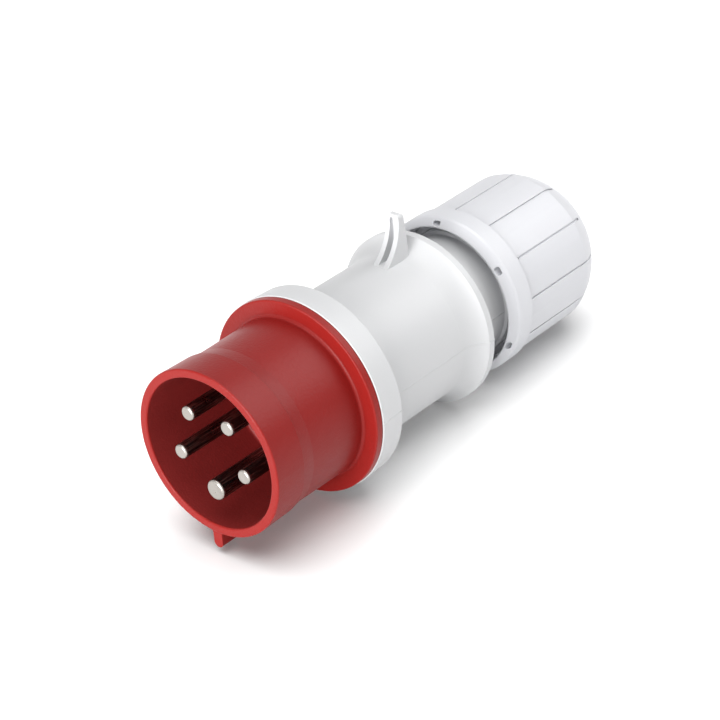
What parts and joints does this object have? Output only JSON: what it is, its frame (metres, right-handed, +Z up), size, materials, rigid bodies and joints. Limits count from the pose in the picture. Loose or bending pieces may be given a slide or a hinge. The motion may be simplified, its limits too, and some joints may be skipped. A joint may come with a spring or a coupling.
{
  "type": "industrial pin and sleeve plug",
  "caption": "Industrial pin and sleeve plug: a keyed red sleeve round its contact pins, a grey housing with a retaining hook, and a cable gland nut that screws.",
  "frame": {"origin": "centre of the sleeve's mouth, on the plug's axis", "axes": "+Y along the plug's axis from the mouth to the cable entry, +Z up with the key and the earth pin at the bottom and the hook on top"},
  "size_m": [0.0672, 0.177, 0.0758],
  "materials": {
    "red_plastic": "satin moulded polyamide with a very fine grain",
    "light_grey_plastic": "satin moulded polyamide",
    "pale_grey_plastic": "satin moulded polyamide",
    "black_plastic": "matt glass-filled polyamide",
    "dark_grey_plastic": "matt moulded polyamide",
    "nickel_brass": "bright nickel plating on turned brass",
    "zinc_steel": "bright zinc plating",
    "rubber": "matt black rubber"
  },
  "bodies": {
    "plug_body": {"shroud": "red_plastic", "flange_gasket": "rubber", "housing": "light_grey_plastic", "contact_carrier": "black_plastic", "carrier_cap": "dark_grey_plastic", "carrier_screw": "zinc_steel", "pin_l1": "nickel_brass", "pin_l2": "nickel_brass", "pin_l3": "nickel_brass", "pin_n": "nickel_brass", "pin_e": "nickel_brass", "terminal_screw_l1": "zinc_steel", "terminal_screw_l2": "zinc_steel", "terminal_screw_l3": "zinc_steel", "terminal_screw_n": "zinc_steel", "terminal_screw_e": "zinc_steel", "clamp_basket": "dark_grey_plastic", "cable_seal": "rubber"},
    "slip_ring": {"thrust_ring": "dark_grey_plastic"},
    "nut": {"gland_nut": "pale_grey_plastic"}
  },
  "joints": [
    {"name": "nut_travel", "type": "slide", "parent": "plug_body", "child": "slip_ring", "axis": [0, -1, 0], "range_m": [0, 0.0125]},
    {"name": "nut_turn", "type": "hinge", "parent": "slip_ring", "child": "nut", "pos_m": [0, 0.14, 0], "axis": [0, -1, 0], "range_deg": [0, 1500]}
  ],
  "couplings": [
    {"joint": "nut_turn", "follows": "nut_travel", "rad_per_m": 2094.4}
  ]
}
